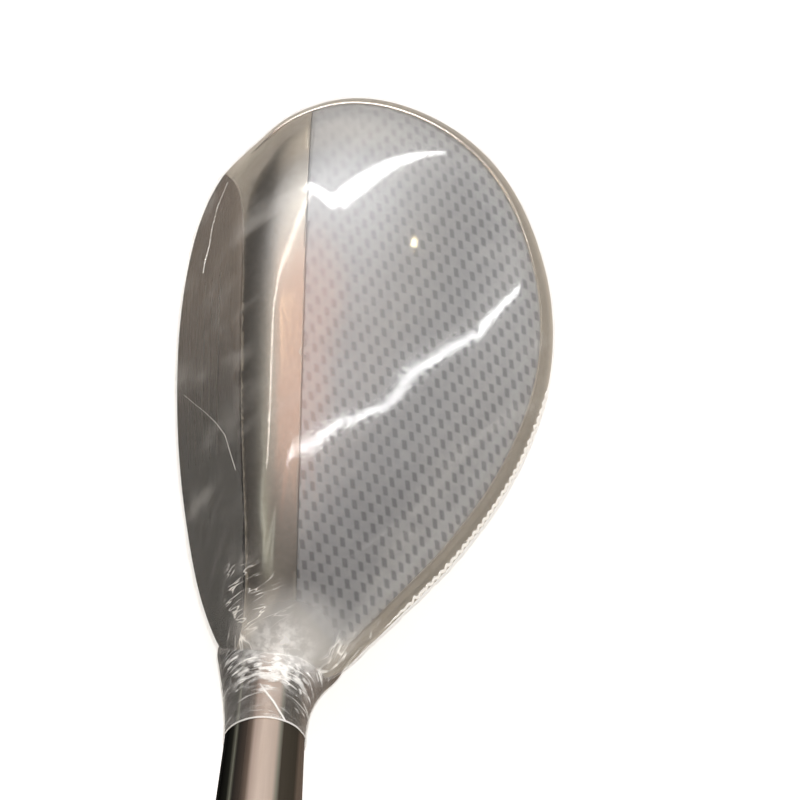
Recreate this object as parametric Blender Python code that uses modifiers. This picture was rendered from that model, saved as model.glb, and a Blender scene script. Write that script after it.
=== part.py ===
"""Hybrid golf club at address: hollow steel head with a carbon crown, shaft, grip and clear film on the head.

Metres, +Z up. The origin is the flat of the sole on the ground, +X runs from the face to the back of the head
and +Y from the heel to the toe. The shaft rises towards -Y.
"""

import math

import bmesh
import bpy
from mathutils import Matrix, Vector

# Club
LIE = math.radians(59.5)
LOFT = math.radians(22)
SHAFT_PLANE_X = -0.0047
SHAFT_GROUND_Y = -0.0415
CLUB_LENGTH = 1.020

# Head form: widest outline seen from above, as (degrees from +X, radius)
HEAD_OUTLINE = (
    (0, 0.0442), (25, 0.0475), (48, 0.0509), (65, 0.0513), (79, 0.0499), (91, 0.0462), (102, 0.0412),
    (113, 0.0378), (130, 0.0368), (155, 0.0342), (180, 0.0322), (205, 0.0340), (228, 0.0394),
    (246, 0.0476), (262, 0.0545), (276, 0.0542), (284, 0.0501), (292, 0.0468), (302, 0.0443),
    (318, 0.0422), (338, 0.0421),
)
OUTLINE_HEIGHT = 0.0160
OUTLINE_RISE = 0.0050
CROWN_HEIGHT = 0.0368
CROWN_POWER_BACK = 2.2
CROWN_POWER_FACE = 5.4
CROWN_ROOT = 1.7
FRONT_ROLL_X = -0.003
FRONT_ROLL_RADIUS = 0.014
FRONT_ROLL_LIMIT = 0.5
FRONT_ROLL_BLEND = 3
SOLE_FLAT_SHARE = 0.2
SOLE_POWER = 2.4
SOLE_ROOT = 2.0

# Walls and the face
SKIRT_WALL = 0.0018
SOLE_WALL = 0.0018
CROWN_WALL = 0.0027
LEADING_EDGE_X = -0.0243
BULGE_RADIUS = 0.400
FACE_FRAME = 0.0018
FACE_THICKNESS = 0.0020
FACE_LEDGE_WIDTH = 0.0022
FACE_LEDGE_THICKNESS = 0.0018
SCORE_LINES = 5
SCORE_PITCH = 0.0040
SCORE_WIDTH = 0.0008
SCORE_DEPTH = 0.0004
SCORE_LENGTH = 0.032
SCORE_LOWEST = 0.0107

# Crown panel
PANEL_THICKNESS = 0.0009
PANEL_RIM = 0.0024
PANEL_FOOT = 0.0195
SEAM_X = 0.00095
SEAM_SLOPE = 0.024
HOSEL_RELIEF = 0.011
HOSEL_RELIEF_START = 79
HOSEL_RELIEF_SPAN = 13
BOND_THICKNESS = 0.0003
LEDGE_WIDTH = 0.0050

# Hosel, shaft and ferrule, along the shaft axis from the ground
HOSEL_ROOT_RADIUS = 0.0066
HOSEL_TOP_RADIUS = 0.0069
HOSEL_TOP = 0.084
HOSEL_COLLAR_RADIUS = 0.0082
HOSEL_COLLAR_FOOT = 0.024
HOSEL_COLLAR_TOP = 0.044
HOSEL_END = 0.011
HOSEL_FLARE_SHARES = (0, 0.4, 0.7, 1)
BORE_BOTTOM = 0.044
SHAFT_TIP_RADIUS = 0.0047
SHAFT_TIP_PARALLEL = 0.075
SHAFT_BUTT_RADIUS = 0.0076
SHAFT_WALL = 0.0013
EPOXY_THICKNESS = 0.00015
EPOXY_GAP = 0.0001
FERRULE_LENGTH = 0.024
FERRULE_LIP = 0.0004
FERRULE_COLLAR = 0.0036
FERRULE_WAIST = 0.0144
TIP_PLUG_LENGTH = 0.025

# Grip
GRIP_LENGTH = 0.267
GRIP_MOUTH_RADIUS = 0.0088
GRIP_BUTT_RADIUS = 0.0132
GRIP_CAP_THICKNESS = 0.006
GRIP_CAP_RADIUS = 0.0138
GRIP_CAP_EDGE = 0.002
GRIP_VENT_RADIUS = 0.0012
GRIP_SWELL_POWER = 1.4
GRIP_STATIONS = (0.75, 0.5, 0.25, 0.1, 0)
TAPE_THICKNESS = 0.0002

# Sole weight
WEIGHT_X = 0.026
WEIGHT_Y = 0.001
WEIGHT_RADIUS = 0.0070
WEIGHT_THICKNESS = 0.0060
WASHER_THICKNESS = 0.0008
WASHER_RADIUS = 0.0060
PORT_WALL = 0.0020
PORT_FLOOR = 0.0085
SCREW_RADIUS = 0.0023
SCREW_LENGTH = 0.0145
SCREW_HEAD_RADIUS = 0.0040
SCREW_HEAD_THICKNESS = 0.0030
SCREW_SOCKET_RADIUS = 0.0023
SCREW_SOCKET_DEPTH = 0.0020
SOCKET_SIDES = 6
WEIGHT_INSET = 0.0004

# Sole slot, inner pad and film
SLOT_X = -0.0135
SLOT_WIDTH = 0.0032
SLOT_LENGTH = 0.030
SLOT_FLANGE = 0.0014
SLOT_FLANGE_THICKNESS = 0.0012
PAD_X = 0.008
PAD_Y = 0.016
PAD_RADIUS = 0.008
PAD_HEIGHT = 0.0025
FILM_GAP = 0.0003
FILM_THICKNESS = 0.00025
FILM_TOP = 0.054
FILM_EDGE_FRONT = 0.0012
FILM_EDGE_BACK = 0.0080

# Fits
SEAT_GAP = 0.0002
RUN_GAP = 0.0003

# Facets
FORM_SEGMENTS = 40
FORM_RINGS = 18
ROUND_STEPS = 28
BARREL_SEGMENTS = 254
OFF_MERIDIAN = 0.4
REACH = 0.06
CUT_DEPTH = 0.015
SCREW_RUNOUT = 0.010

TOE_UP = Matrix.Rotation(math.pi / 2 - LIE, 4, "X")
SHAFT_FOOT = Matrix.Translation((SHAFT_PLANE_X, SHAFT_GROUND_Y, 0)) @ TOE_UP
HALF_STEP = Matrix.Rotation(math.pi / ROUND_STEPS, 4, "Z")


def clear_scene():
    for obj in list(bpy.data.objects):
        bpy.data.objects.remove(obj, do_unlink=True)


def new_collection(name):
    collection = bpy.data.collections.new(name)
    bpy.context.scene.collection.children.link(collection)
    return collection


def finish(name, color, roughness, metallic):
    mat = bpy.data.materials.new(name)
    mat.use_nodes = True
    shader = mat.node_tree.nodes["Principled BSDF"]
    shader.inputs["Base Color"].default_value = (*color, 1)
    shader.inputs["Roughness"].default_value = roughness
    shader.inputs["Metallic"].default_value = metallic
    return mat


def mesh_object(name, bm, collection):
    bmesh.ops.recalc_face_normals(bm, faces=bm.faces)
    mesh = bpy.data.meshes.new(name)
    bm.to_mesh(mesh)
    bm.free()
    obj = bpy.data.objects.new(name, mesh)
    collection.objects.link(obj)
    return obj


def boolean(obj, operation, other):
    step = obj.modifiers.new(f"{operation.lower()} {other.name}", "BOOLEAN")
    step.operation = operation
    step.solver = "EXACT"
    step.object = other
    return obj


def as_cutter(obj):
    obj.hide_render = True
    obj.display_type = "WIRE"
    return obj


def as_part(obj, mat, parent=None):
    obj.data.materials.clear()
    obj.data.materials.append(mat)
    obj.data.shade_smooth()
    obj.data.set_sharp_from_angle(angle=math.radians(30))
    if parent:
        obj.parent = parent
    return obj


def outline_radius(degrees):
    """Radius of the head's widest outline, on a closed Catmull-Rom curve through HEAD_OUTLINE."""
    degrees %= 360
    count = len(HEAD_OUTLINE)
    last = max(i for i in range(count) if HEAD_OUTLINE[i][0] <= degrees)
    angles = []
    radii = []
    for step in range(-1, 3):
        angle, radius = HEAD_OUTLINE[(last + step) % count]
        angles.append(angle + 360 * ((last + step) // count))
        radii.append(radius)
    span = angles[2] - angles[1]
    t = (degrees - angles[1]) / span
    start = (radii[2] - radii[0]) / (angles[2] - angles[0]) * span
    end = (radii[3] - radii[1]) / (angles[3] - angles[1]) * span
    return (
        (2 * t**3 - 3 * t**2 + 1) * radii[1] + (t**3 - 2 * t**2 + t) * start
        + (3 * t**2 - 2 * t**3) * radii[2] + (t**3 - t**2) * end
    )


def outline_height(angle):
    return OUTLINE_HEIGHT + OUTLINE_RISE * math.sin(angle) ** 2


def form_point(angle, share, upper, side, top, bottom):
    """A point of the head's form at a share of its outline radius, moved out by three offsets."""
    radius = outline_radius(math.degrees(angle)) + side
    middle = outline_height(angle)
    if upper:
        power = CROWN_POWER_BACK + (CROWN_POWER_FACE - CROWN_POWER_BACK) * (1 - math.cos(angle)) / 2
        rise = (CROWN_HEIGHT + top - middle) * max(0, 1 - share**power) ** (1 / CROWN_ROOT)
        ahead = max(0, FRONT_ROLL_X - math.cos(angle) * (radius - side) * share)
        drop = ahead**2 / (2 * FRONT_ROLL_RADIUS)
        limit = FRONT_ROLL_LIMIT * rise
        height = middle + rise
        if drop and limit:
            height -= (drop**-FRONT_ROLL_BLEND + limit**-FRONT_ROLL_BLEND) ** (-1 / FRONT_ROLL_BLEND)
    else:
        slope = max(0, (share - SOLE_FLAT_SHARE) / (1 - SOLE_FLAT_SHARE))
        height = middle - (middle + bottom) * max(0, 1 - slope**SOLE_POWER) ** (1 / SOLE_ROOT)
    return Vector((math.cos(angle) * radius * share, math.sin(angle) * radius * share, height))


def head_form(name, collection, side=0, top=None, bottom=None):
    """The head without its face cut or hosel, grown or shrunk by offsets at its side, top and bottom."""
    top = side if top is None else top
    bottom = side if bottom is None else bottom
    bm = bmesh.new()
    bmesh.ops.create_uvsphere(bm, u_segments=FORM_SEGMENTS, v_segments=FORM_RINGS, radius=1)
    for vert in bm.verts:
        share = min(1, math.hypot(vert.co.x, vert.co.y))
        angle = math.atan2(vert.co.y, vert.co.x)
        vert.co = form_point(angle, share, vert.co.z >= 0, side, top, bottom)
    return as_cutter(mesh_object(name, bm, collection))


def sole_point(x, y):
    """The point of the outer sole below a place on the ground plan, and its outward normal."""
    def height(px, py):
        angle = math.atan2(py, px)
        return form_point(angle, math.hypot(px, py) / outline_radius(math.degrees(angle)), False, 0, 0, 0).z

    step = 0.001
    rise_x = (height(x + step, y) - height(x - step, y)) / (2 * step)
    rise_y = (height(x, y + step) - height(x, y - step)) / (2 * step)
    return Vector((x, y, height(x, y))), Vector((rise_x, rise_y, -1)).normalized()


def barrel_frame():
    """Axis of the face's bulge: Z runs up the loft, and the face is at -X, one bulge radius away."""
    return Matrix.Translation((LEADING_EDGE_X, 0, 0)) @ Matrix.Rotation(LOFT, 4, "Y") @ Matrix.Translation(
        (BULGE_RADIUS, 0, 0)
    )


def face_barrel(name, collection, setback):
    """Cylinder whose front is the bulged face, set back into the head by a distance."""
    bm = bmesh.new()
    radius = BULGE_RADIUS - setback
    bmesh.ops.create_cone(
        bm, cap_ends=True, segments=BARREL_SEGMENTS, radius1=radius, radius2=radius, depth=4 * REACH
    )
    bmesh.ops.transform(bm, matrix=barrel_frame(), verts=bm.verts)
    return as_cutter(mesh_object(name, bm, collection))


def prism(name, collection, points, low, high):
    """Upright solid on a closed outline of (x, y) points."""
    bm = bmesh.new()
    face = bm.faces.new([bm.verts.new((x, y, low)) for x, y in points])
    made = bmesh.ops.extrude_face_region(bm, geom=[face])
    raised = [item for item in made["geom"] if isinstance(item, bmesh.types.BMVert)]
    bmesh.ops.translate(bm, vec=(0, 0, high - low), verts=raised)
    return as_cutter(mesh_object(name, bm, collection))


def panel_prism(name, collection, grow):
    """Upright solid on the crown panel's outline, moved out by a distance."""
    bm = bmesh.new()
    ring = []
    for step in range(FORM_SEGMENTS * 2):
        degrees = (step + OFF_MERIDIAN) * 180 / FORM_SEGMENTS
        past = (360 - degrees - HOSEL_RELIEF_START) / HOSEL_RELIEF_SPAN
        past = min(1, max(0, past)) if degrees > 180 else 0
        relief = HOSEL_RELIEF * past**2 * (3 - 2 * past)
        radius = outline_radius(degrees) - PANEL_RIM - relief + grow
        angle = math.radians(degrees)
        ring.append(bm.verts.new((math.cos(angle) * radius, math.sin(angle) * radius, PANEL_FOOT)))
    made = bmesh.ops.extrude_face_region(bm, geom=[bm.faces.new(ring)])
    raised = [item for item in made["geom"] if isinstance(item, bmesh.types.BMVert)]
    bmesh.ops.translate(bm, vec=(0, 0, REACH), verts=raised)
    cut = bmesh.ops.bisect_plane(
        bm, geom=bm.verts[:] + bm.edges[:] + bm.faces[:], plane_co=(SEAM_X - grow, 0, 0),
        plane_no=(-1, SEAM_SLOPE, 0), clear_outer=True,
    )
    edges = [item for item in cut["geom_cut"] if isinstance(item, bmesh.types.BMEdge)]
    bmesh.ops.contextual_create(bm, geom=edges)
    return as_cutter(mesh_object(name, bm, collection))


def turned(name, collection, profile, matrix=SHAFT_FOOT, steps=ROUND_STEPS):
    """Solid of revolution about the local Z axis, from a closed (radius, height) profile."""
    bm = bmesh.new()
    verts = [bm.verts.new((radius, 0, height)) for radius, height in profile]
    for start, end in zip(verts, verts[1:]):
        bm.edges.new((start, end))
    if min(radius for radius, height in profile) > 0:
        bm.edges.new((verts[-1], verts[0]))
    mesh = bpy.data.meshes.new(name)
    bm.to_mesh(mesh)
    bm.free()
    obj = bpy.data.objects.new(name, mesh)
    collection.objects.link(obj)
    obj.matrix_world = matrix
    screw = obj.modifiers.new("turn", "SCREW")
    screw.steps = steps
    screw.render_steps = steps
    screw.use_merge_vertices = True
    screw.merge_threshold = 0.00001
    return obj


def tube(name, collection, outer, inner, low, high, matrix=SHAFT_FOOT, steps=ROUND_STEPS):
    """Straight tube, or a rod where the inner radius is zero."""
    profile = [(inner, high), (outer, high), (outer, low), (inner, low)]
    return turned(name, collection, profile, matrix, steps)


def hosel_profile(grow, high):
    """Outer side of the hosel with its flared, round-ended foot, as a solid profile from the top down."""
    flare = HOSEL_COLLAR_RADIUS - HOSEL_ROOT_RADIUS
    points = [(0, high), (HOSEL_TOP_RADIUS + grow, high)]
    if high > HOSEL_TOP:
        points.append((HOSEL_TOP_RADIUS + grow, HOSEL_TOP))
    for share in HOSEL_FLARE_SHARES:
        height = HOSEL_COLLAR_TOP + (HOSEL_COLLAR_FOOT - HOSEL_COLLAR_TOP) * share
        points.append((HOSEL_ROOT_RADIUS + flare * share**2 + grow, height))
    for angle in (30, 60, 90):
        turn = math.radians(angle)
        height = HOSEL_COLLAR_FOOT - (HOSEL_COLLAR_FOOT - HOSEL_END + grow) * math.sin(turn)
        points.append(((HOSEL_COLLAR_RADIUS + grow) * math.cos(turn) if angle < 90 else 0, height))
    return points


def shaft_radius(distance):
    """Outer radius of the shaft at a distance along its axis from the ground."""
    start = BORE_BOTTOM + SHAFT_TIP_PARALLEL
    end = CLUB_LENGTH - GRIP_CAP_THICKNESS
    share = min(1, max(0, (distance - start) / (end - start)))
    return SHAFT_TIP_RADIUS + (SHAFT_BUTT_RADIUS - SHAFT_TIP_RADIUS) * share


def weight_frame():
    """Axis of the sole weight: Z points into the head, and zero is the weight's outer face."""
    place, outward = sole_point(WEIGHT_X, WEIGHT_Y)
    turn = (-outward).to_track_quat("Z", "Y").to_matrix().to_4x4()
    return Matrix.Translation(place - outward * WEIGHT_INSET) @ turn


def make_head(parts, cutters):
    steel = finish("satin_steel", (0.55, 0.52, 0.48), 0.35, 1)
    brushed = finish("brushed_face", (0.32, 0.30, 0.28), 0.4, 1)
    carbon = finish("carbon_weave", (0.30, 0.31, 0.32), 0.3, 0)
    adhesive = finish("adhesive", (0.12, 0.12, 0.12), 0.6, 0)
    polymer = finish("slot_polymer", (0.03, 0.03, 0.03), 0.5, 0)
    glue = finish("hot_melt", (0.75, 0.65, 0.40), 0.5, 0)
    recess = PANEL_THICKNESS + SEAT_GAP + BOND_THICKNESS + SEAT_GAP
    port = weight_frame()
    pocket_depth = WEIGHT_THICKNESS + WASHER_THICKNESS + 2 * SEAT_GAP
    outer = head_form("form_outer", cutters)

    # Hollow of the casting, with the weight's boss left standing in it
    cavity = head_form("form_cavity", cutters, -SKIRT_WALL, -CROWN_WALL, -SOLE_WALL)
    boolean(cavity, "INTERSECT", face_barrel(
        "barrel_cavity", cutters, FACE_THICKNESS + SEAT_GAP + FACE_LEDGE_THICKNESS))
    throat = head_form("form_throat", cutters, -FACE_FRAME - FACE_LEDGE_WIDTH)
    boolean(throat, "INTERSECT", face_barrel("barrel_throat", cutters, FACE_THICKNESS))
    boolean(cavity, "UNION", throat)
    boss_length = pocket_depth + PORT_FLOOR
    boss = as_cutter(tube(
        "weight_boss", cutters, WEIGHT_RADIUS + PORT_WALL, 0, -CUT_DEPTH, boss_length, port))
    boolean(cavity, "DIFFERENCE", boss)

    # Openings of the casting
    crown_seat = panel_prism("crown_seat", cutters, SEAT_GAP)
    boolean(crown_seat, "DIFFERENCE", head_form("form_seat", cutters, -recess))
    crown_opening = panel_prism("crown_opening", cutters, -LEDGE_WIDTH)
    face_seat = head_form("form_face_seat", cutters, -FACE_FRAME)
    boolean(face_seat, "DIFFERENCE", face_barrel("barrel_face_seat", cutters, FACE_THICKNESS + SEAT_GAP))
    bore_radius = SHAFT_TIP_RADIUS + EPOXY_THICKNESS + 2 * EPOXY_GAP
    bore = as_cutter(tube("shaft_bore", cutters, bore_radius, 0, BORE_BOTTOM, HOSEL_TOP + REACH))
    pocket = as_cutter(tube(
        "weight_pocket", cutters, WEIGHT_RADIUS + RUN_GAP, 0, -CUT_DEPTH, pocket_depth, port))
    thread = as_cutter(tube(
        "screw_hole", cutters, SCREW_RADIUS + RUN_GAP, 0, 0, boss_length + SCREW_RUNOUT, port @ HALF_STEP))
    half_slot = SLOT_LENGTH / 2
    slot_box = [
        (SLOT_X - SLOT_WIDTH / 2, -half_slot), (SLOT_X + SLOT_WIDTH / 2, -half_slot),
        (SLOT_X + SLOT_WIDTH / 2, half_slot), (SLOT_X - SLOT_WIDTH / 2, half_slot),
    ]
    slot = prism("sole_slot", cutters, slot_box, -CUT_DEPTH, OUTLINE_HEIGHT / 2)

    body = head_form("head_body", parts)
    body.hide_render = False
    body.display_type = "TEXTURED"
    boolean(body, "INTERSECT", face_barrel("barrel_face", cutters, 0))
    boolean(body, "UNION", as_cutter(turned(
        "hosel_post", cutters, hosel_profile(0, HOSEL_TOP), SHAFT_FOOT @ HALF_STEP)))
    for cutter in (cavity, crown_seat, crown_opening, face_seat, bore, pocket, thread, slot):
        boolean(body, "DIFFERENCE", cutter)
    as_part(body, steel)

    plate = head_form("face_plate", parts, -FACE_FRAME - SEAT_GAP)
    plate.hide_render = False
    plate.display_type = "TEXTURED"
    boolean(plate, "INTERSECT", bpy.data.objects["barrel_face"])
    boolean(plate, "DIFFERENCE", face_barrel("barrel_plate_back", cutters, FACE_THICKNESS))
    for line in range(SCORE_LINES):
        height = SCORE_LOWEST + line * SCORE_PITCH
        boolean(plate, "DIFFERENCE", score_line(f"score_line_{line}", cutters, height))
    as_part(plate, brushed)

    panel = panel_prism("crown_panel", parts, 0)
    panel.hide_render = False
    panel.display_type = "TEXTURED"
    boolean(panel, "INTERSECT", outer)
    boolean(panel, "DIFFERENCE", head_form("form_panel_back", cutters, -PANEL_THICKNESS))
    as_part(panel, carbon)

    bond = panel_prism("crown_adhesive", parts, -SEAT_GAP)
    bond.hide_render = False
    bond.display_type = "TEXTURED"
    boolean(bond, "INTERSECT", head_form("form_bond_top", cutters, -PANEL_THICKNESS - SEAT_GAP))
    boolean(bond, "DIFFERENCE", head_form("form_bond_back", cutters, SEAT_GAP - recess))
    boolean(bond, "DIFFERENCE", panel_prism("bond_opening", cutters, SEAT_GAP - LEDGE_WIDTH))
    as_part(bond, adhesive)

    inner_slot = [
        (x - math.copysign(SEAT_GAP, x - SLOT_X), y - math.copysign(SEAT_GAP, y)) for x, y in slot_box
    ]
    flange_box = [
        (x + math.copysign(SLOT_FLANGE, x - SLOT_X), y + math.copysign(SLOT_FLANGE, y)) for x, y in slot_box
    ]
    insert = prism("slot_insert", parts, inner_slot, -CUT_DEPTH, OUTLINE_HEIGHT / 2)
    insert.hide_render = False
    insert.display_type = "TEXTURED"
    flange = prism("slot_flange", cutters, flange_box, -CUT_DEPTH, OUTLINE_HEIGHT / 2)
    boolean(flange, "INTERSECT", head_form("form_flange", cutters, -SOLE_WALL - SEAT_GAP))
    boolean(insert, "INTERSECT", head_form("form_insert", cutters, -SEAT_GAP))
    boolean(insert, "UNION", flange)
    boolean(insert, "DIFFERENCE", head_form(
        "form_insert_top", cutters, -SOLE_WALL - SEAT_GAP - SLOT_FLANGE_THICKNESS))
    as_part(insert, polymer)

    pad_foot = Matrix.Translation((PAD_X, PAD_Y, sole_point(PAD_X, PAD_Y)[0].z))
    pad_top = SOLE_WALL + SEAT_GAP + PAD_HEIGHT
    pad = as_part(tube("hot_melt_pad", parts, PAD_RADIUS, 0, 0, pad_top, pad_foot), glue)
    boolean(pad, "INTERSECT", head_form("form_pad", cutters, -SOLE_WALL - SEAT_GAP))


def score_line(name, cutters, height):
    """Groove across the face at a distance up the loft, following the bulge."""
    reach = SCORE_LENGTH / 2 / BULGE_RADIUS
    points = []
    for radius, order in ((BULGE_RADIUS + SCORE_DEPTH, 1), (BULGE_RADIUS - SCORE_DEPTH, -1)):
        for step in range(-6, 7):
            angle = math.pi + order * step * reach / 6
            points.append((math.cos(angle) * radius, math.sin(angle) * radius))
    groove = prism(name, cutters, points, height - SCORE_WIDTH / 2, height + SCORE_WIDTH / 2)
    groove.matrix_world = barrel_frame()
    return groove


def make_weight(parts, cutters):
    tungsten = finish("tungsten", (0.25, 0.25, 0.26), 0.35, 1)
    zinc = finish("screw_steel", (0.16, 0.16, 0.17), 0.35, 1)
    rubber = finish("washer_rubber", (0.02, 0.02, 0.02), 0.7, 0)
    axis = bpy.data.objects.new("weight_axis", None)
    parts.objects.link(axis)
    axis.matrix_world = weight_frame()
    counterbore = SCREW_HEAD_THICKNESS + SEAT_GAP
    hole = SCREW_RADIUS + RUN_GAP
    weight = turned("sole_weight", parts, [
        (hole, WEIGHT_THICKNESS), (WEIGHT_RADIUS, WEIGHT_THICKNESS), (WEIGHT_RADIUS, 0),
        (SCREW_HEAD_RADIUS + RUN_GAP, 0), (SCREW_HEAD_RADIUS + RUN_GAP, counterbore), (hole, counterbore),
    ], Matrix())
    as_part(weight, tungsten, axis)
    screw = turned("weight_screw", parts, [
        (0, SCREW_LENGTH), (SCREW_RADIUS, SCREW_LENGTH), (SCREW_RADIUS, SCREW_HEAD_THICKNESS),
        (SCREW_HEAD_RADIUS, SCREW_HEAD_THICKNESS), (SCREW_HEAD_RADIUS, 0), (0, 0),
    ], Matrix())
    as_part(screw, zinc, axis)
    socket = as_cutter(tube(
        "screw_socket", cutters, SCREW_SOCKET_RADIUS, 0, -SCREW_SOCKET_DEPTH, SCREW_SOCKET_DEPTH,
        Matrix(), SOCKET_SIDES))
    socket.parent = axis
    boolean(screw, "DIFFERENCE", socket)
    seat = WEIGHT_THICKNESS + SEAT_GAP
    washer_hole = SCREW_RADIUS + 2 * RUN_GAP
    washer = tube("weight_washer", parts, WASHER_RADIUS, washer_hole, seat, seat + WASHER_THICKNESS, Matrix())
    as_part(washer, rubber, axis)


def make_shaft(parts):
    graphite = finish("shaft_paint", (0.05, 0.05, 0.055), 0.25, 0)
    epoxy = finish("epoxy", (0.35, 0.30, 0.18), 0.4, 0)
    brass = finish("tip_plug_brass", (0.70, 0.52, 0.25), 0.35, 1)
    plastic = finish("ferrule_plastic", (0.015, 0.015, 0.015), 0.2, 0)
    tip = BORE_BOTTOM + RUN_GAP
    butt = CLUB_LENGTH - GRIP_CAP_THICKNESS - RUN_GAP
    stations = (butt, tip + SHAFT_TIP_PARALLEL, tip)
    profile = [(shaft_radius(at), at) for at in stations]
    profile += [(shaft_radius(at) - SHAFT_WALL, at) for at in reversed(stations)]
    as_part(turned("shaft", parts, profile), graphite)
    sleeve_inner = SHAFT_TIP_RADIUS + EPOXY_GAP
    as_part(tube("shaft_epoxy", parts, sleeve_inner + EPOXY_THICKNESS, sleeve_inner, tip, HOSEL_TOP), epoxy)
    as_part(tube(
        "tip_plug", parts, SHAFT_TIP_RADIUS - SHAFT_WALL - EPOXY_GAP, 0, tip, tip + TIP_PLUG_LENGTH), brass)
    foot = HOSEL_TOP + RUN_GAP
    end = foot + FERRULE_LENGTH
    hole = SHAFT_TIP_RADIUS + EPOXY_GAP
    as_part(turned("ferrule", parts, [
        (hole, end), (hole + FERRULE_LIP, end), (hole + 2 * FERRULE_LIP, foot + FERRULE_WAIST),
        (HOSEL_TOP_RADIUS, foot + FERRULE_COLLAR), (HOSEL_TOP_RADIUS, foot), (hole, foot),
    ]), plastic)


def make_grip(parts):
    rubber = finish("grip_rubber", (0.02, 0.02, 0.02), 0.75, 0)
    cap_rubber = finish("cap_rubber", (0.03, 0.03, 0.03), 0.6, 0)
    tape = finish("grip_tape", (0.70, 0.64, 0.50), 0.7, 0)
    butt = CLUB_LENGTH - GRIP_CAP_THICKNESS
    mouth = butt - GRIP_LENGTH
    low = mouth + 2 * RUN_GAP
    high = butt - 2 * RUN_GAP
    tape_high = shaft_radius(high) + EPOXY_GAP
    tape_low = shaft_radius(low) + EPOXY_GAP
    as_part(turned("grip_tape", parts, [
        (tape_high + TAPE_THICKNESS, high), (tape_low + TAPE_THICKNESS, low),
        (tape_low, low), (tape_high, high),
    ]), tape)
    bore = 2 * EPOXY_GAP + TAPE_THICKNESS
    end = butt - RUN_GAP
    profile = [(GRIP_BUTT_RADIUS, end)]
    for share in GRIP_STATIONS:
        swell = (GRIP_BUTT_RADIUS - GRIP_MOUTH_RADIUS) * share**GRIP_SWELL_POWER
        profile.append((GRIP_MOUTH_RADIUS + swell, mouth + GRIP_LENGTH * share))
    profile += [(shaft_radius(mouth) + bore, mouth), (shaft_radius(end) + bore, end)]
    as_part(turned("grip", parts, profile), rubber)
    as_part(turned("grip_cap", parts, [
        (GRIP_VENT_RADIUS, CLUB_LENGTH), (GRIP_CAP_RADIUS - GRIP_CAP_EDGE, CLUB_LENGTH),
        (GRIP_CAP_RADIUS, CLUB_LENGTH - GRIP_CAP_EDGE), (GRIP_CAP_RADIUS, butt + GRIP_CAP_EDGE),
        (GRIP_BUTT_RADIUS, butt), (GRIP_VENT_RADIUS, butt),
    ]), cap_rubber)


def make_film(parts, cutters):
    """Clear shrink film over the face, crown and skirt and up the hosel, open under the sole."""
    clear = finish("clear_film", (0.9, 0.92, 0.93), 0.1, 0)
    outside = FILM_GAP + FILM_THICKNESS
    film = head_form("wrap_film", parts, outside)
    film.hide_render = False
    film.display_type = "TEXTURED"
    boolean(film, "INTERSECT", face_barrel("barrel_film_outer", cutters, -outside))
    boolean(film, "UNION", as_cutter(turned(
        "film_neck", cutters, hosel_profile(outside, FILM_TOP))))
    inside = head_form("form_film_inner", cutters, FILM_GAP)
    boolean(inside, "INTERSECT", face_barrel("barrel_film_inner", cutters, -FILM_GAP))
    boolean(inside, "UNION", as_cutter(turned(
        "film_neck_inner", cutters, hosel_profile(FILM_GAP, HOSEL_TOP),
        SHAFT_FOOT @ HALF_STEP)))
    boolean(film, "DIFFERENCE", inside)
    depth = outline_radius(0) - LEADING_EDGE_X
    slope = math.atan2(FILM_EDGE_BACK - FILM_EDGE_FRONT, depth)
    bm = bmesh.new()
    bmesh.ops.create_cube(bm, size=4 * REACH)
    floor = Matrix.Translation((LEADING_EDGE_X, 0, FILM_EDGE_FRONT)) @ Matrix.Rotation(-slope, 4, "Y")
    bmesh.ops.transform(bm, matrix=floor @ Matrix.Translation((0, 0, -2 * REACH)), verts=bm.verts)
    boolean(film, "DIFFERENCE", as_cutter(mesh_object("film_mouth", bm, cutters)))
    as_part(film, clear)


def main():
    clear_scene()
    parts = new_collection("hybrid_golf_club")
    cutters = new_collection("cutters")
    make_head(parts, cutters)
    make_weight(parts, cutters)
    make_shaft(parts)
    make_grip(parts)
    make_film(parts, cutters)


main()
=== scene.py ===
import math

import bmesh
import bpy
from mathutils import Matrix, Vector, noise


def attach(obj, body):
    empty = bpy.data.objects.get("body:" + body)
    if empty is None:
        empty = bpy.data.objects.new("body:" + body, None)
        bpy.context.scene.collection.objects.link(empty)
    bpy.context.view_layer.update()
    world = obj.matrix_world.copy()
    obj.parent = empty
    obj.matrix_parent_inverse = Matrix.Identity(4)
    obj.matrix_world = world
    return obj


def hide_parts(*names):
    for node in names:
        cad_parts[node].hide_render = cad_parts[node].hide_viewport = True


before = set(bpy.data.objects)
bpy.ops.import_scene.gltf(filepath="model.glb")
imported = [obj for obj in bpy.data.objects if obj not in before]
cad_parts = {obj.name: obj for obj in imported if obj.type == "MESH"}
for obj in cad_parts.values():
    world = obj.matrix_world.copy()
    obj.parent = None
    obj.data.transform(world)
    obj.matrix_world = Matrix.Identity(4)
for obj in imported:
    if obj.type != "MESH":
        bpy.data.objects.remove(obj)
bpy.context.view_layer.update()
mm = 0.001


def colour(hexText):
    parts = [int(hexText[i:i + 2], 16) / 255 for i in (1, 3, 5)]
    return [p / 12.92 if p <= 0.04045 else ((p + 0.055) / 1.055) ** 2.4 for p in parts] + [1]


def addNode(tree, kind, settings=None, sockets=None):
    node = tree.nodes.new(kind)
    for key, value in (settings or {}).items():
        setattr(node, key, value)
    for key, value in (sockets or {}).items():
        if isinstance(value, bpy.types.NodeSocket):
            tree.links.new(value, node.inputs[key])
        else:
            node.inputs[key].default_value = value
    return node


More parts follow.
